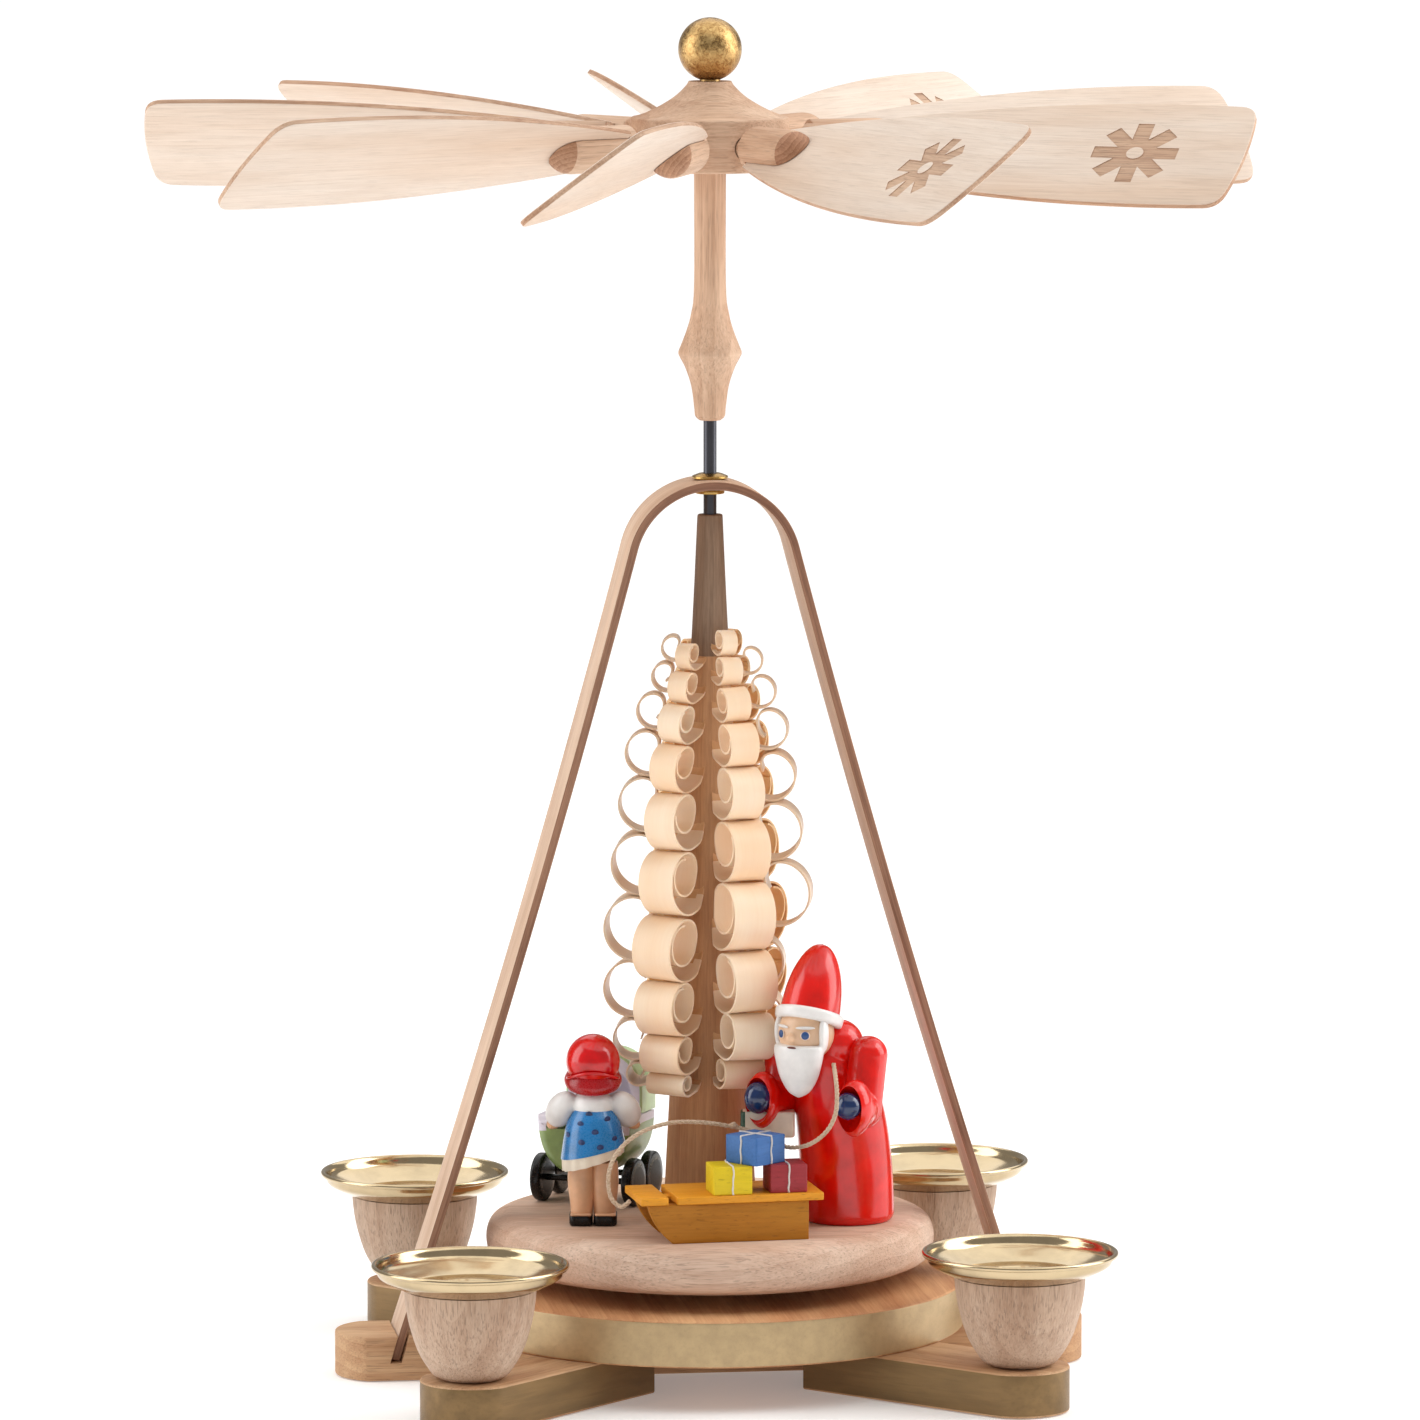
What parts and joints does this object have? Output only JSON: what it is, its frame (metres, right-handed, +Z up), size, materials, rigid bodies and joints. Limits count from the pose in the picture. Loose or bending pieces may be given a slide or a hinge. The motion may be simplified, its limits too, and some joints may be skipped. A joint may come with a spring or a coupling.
{
  "type": "christmas pyramid",
  "caption": "Wooden candle pyramid: candle cups on a star base round a turntable with a curled tree and figures, spun by a bladed wheel above a bent arch.",
  "frame": {"origin": "on the surface that the base stands on, under the axle", "axes": "+Z up the axle, +X along the crossbar that holds the arch, the front faces -Y"},
  "size_m": [0.2383, 0.236, 0.2898],
  "materials": {
    "bare_wood": "turned and sanded pale wood, unvarnished, fine dark pores",
    "linden_wood": "thin sawn and sanded pale board, unvarnished",
    "bent_wood": "steam-bent strip, sanded, browner on its cut edges",
    "curl_wood": "freshly shaved, satin, a little light passes through the curls",
    "peach_wood": "clear satin on top, matte gold paint on the edge",
    "gold_wood": "matte gold paint on the sides, clear satin on top",
    "brass": "pressed and polished, spun rings",
    "steel": "drawn rod",
    "leaf_gold": "mottled leaf gold over turned wood",
    "red_gloss": "gloss paint over turned wood",
    "skin_paint": "satin paint over turned wood",
    "blue_gloss": "gloss paint over turned wood",
    "green_gloss": "gloss paint over wood",
    "pale_gloss": "gloss paint over wood",
    "black_gloss": "gloss paint over turned wood",
    "ochre_paint": "stained and lacquered wood",
    "yellow_paint": "thin paint, grain showing, white string",
    "dark_red_paint": "thin paint, grain showing, white string",
    "blue_paint": "thin paint, grain showing, white string",
    "twine": "stiff natural string"
  },
  "bodies": {
    "base": {"base_plate": "peach_wood", "crossbar": "bare_wood", "arch": "bent_wood", "arch_bush": "brass", "bearing_cup": "brass", "arm_front_right": "gold_wood", "arm_rear_right": "gold_wood", "arm_rear_left": "gold_wood", "arm_front_left": "gold_wood", "candle_cup_front_right": "bare_wood", "candle_cup_rear_right": "bare_wood", "candle_cup_rear_left": "bare_wood", "candle_cup_front_left": "bare_wood", "drip_dish_front_right": "brass", "drip_dish_rear_right": "brass", "drip_dish_rear_left": "brass", "drip_dish_front_left": "brass"},
    "rotor": {"turntable": "bare_wood", "curl_tree": "curl_wood", "axle_rod": "steel", "gift_bringer_coat": "red_gloss", "gift_bringer_head": "skin_paint", "gift_bringer_hat": "red_gloss", "gift_bringer_arm_left": "red_gloss", "gift_bringer_arm_right": "red_gloss", "girl_legs": "skin_paint", "girl_body": "blue_gloss", "girl_head": "red_gloss", "pram_body": "green_gloss", "pram_hood": "pale_gloss", "pram_rear_wheels": "black_gloss", "pram_front_wheels": "black_gloss", "sled_deck": "ochre_paint", "sled_runner_left": "ochre_paint", "sled_runner_right": "ochre_paint", "gift_yellow": "yellow_paint", "gift_red": "dark_red_paint", "gift_blue": "blue_paint", "sled_cord": "twine"},
    "wheel": {"spindle": "bare_wood", "hub": "bare_wood", "ball": "leaf_gold"},
    "wing_1": {"blade_stem_1": "bare_wood", "blade_1": "linden_wood"},
    "wing_2": {"blade_stem_2": "bare_wood", "blade_2": "linden_wood"},
    "wing_3": {"blade_stem_3": "bare_wood", "blade_3": "linden_wood"},
    "wing_4": {"blade_stem_4": "bare_wood", "blade_4": "linden_wood"},
    "wing_5": {"blade_stem_5": "bare_wood", "blade_5": "linden_wood"},
    "wing_6": {"blade_stem_6": "bare_wood", "blade_6": "linden_wood"},
    "wing_7": {"blade_stem_7": "bare_wood", "blade_7": "linden_wood"},
    "wing_8": {"blade_stem_8": "bare_wood", "blade_8": "linden_wood"},
    "wing_9": {"blade_stem_9": "bare_wood", "blade_9": "linden_wood"}
  },
  "joints": [
    {"name": "rotor_spin", "type": "hinge", "parent": "base", "child": "rotor", "pos_m": [0, 0, 0.0167], "axis": [0, 0, 1], "continuous": true},
    {"name": "wheel_lift", "type": "slide", "parent": "rotor", "child": "wheel", "axis": [0, 0, 1], "range_m": [0, 0.04]},
    {"name": "wing_1_pitch", "type": "hinge", "parent": "wheel", "child": "wing_1", "pos_m": [0, 0, 0.2629], "axis": [0.9854, 0.1702, 0], "range_deg": [-20, 20]},
    {"name": "wing_2_pitch", "type": "hinge", "parent": "wheel", "child": "wing_2", "pos_m": [0, 0, 0.2629], "axis": [0.6455, 0.7638, 0], "range_deg": [-20, 20]},
    {"name": "wing_3_pitch", "type": "hinge", "parent": "wheel", "child": "wing_3", "pos_m": [0, 0, 0.2629], "axis": [0.0035, 1, 0], "range_deg": [-20, 20]},
    {"name": "wing_4_pitch", "type": "hinge", "parent": "wheel", "child": "wing_4", "pos_m": [0, 0, 0.2629], "axis": [-0.6401, 0.7683, 0], "range_deg": [-20, 20]},
    {"name": "wing_5_pitch", "type": "hinge", "parent": "wheel", "child": "wing_5", "pos_m": [0, 0, 0.2629], "axis": [-0.9842, 0.1771, 0], "range_deg": [-20, 20]},
    {"name": "wing_6_pitch", "type": "hinge", "parent": "wheel", "child": "wing_6", "pos_m": [0, 0, 0.2629], "axis": [-0.8678, -0.497, 0], "range_deg": [-20, 20]},
    {"name": "wing_7_pitch", "type": "hinge", "parent": "wheel", "child": "wing_7", "pos_m": [0, 0, 0.2629], "axis": [-0.3453, -0.9385, 0], "range_deg": [-20, 20]},
    {"name": "wing_8_pitch", "type": "hinge", "parent": "wheel", "child": "wing_8", "pos_m": [0, 0, 0.2629], "axis": [0.3387, -0.9409, 0], "range_deg": [-20, 20]},
    {"name": "wing_9_pitch", "type": "hinge", "parent": "wheel", "child": "wing_9", "pos_m": [0, 0, 0.2629], "axis": [0.8643, -0.503, 0], "range_deg": [-20, 20]}
  ]
}
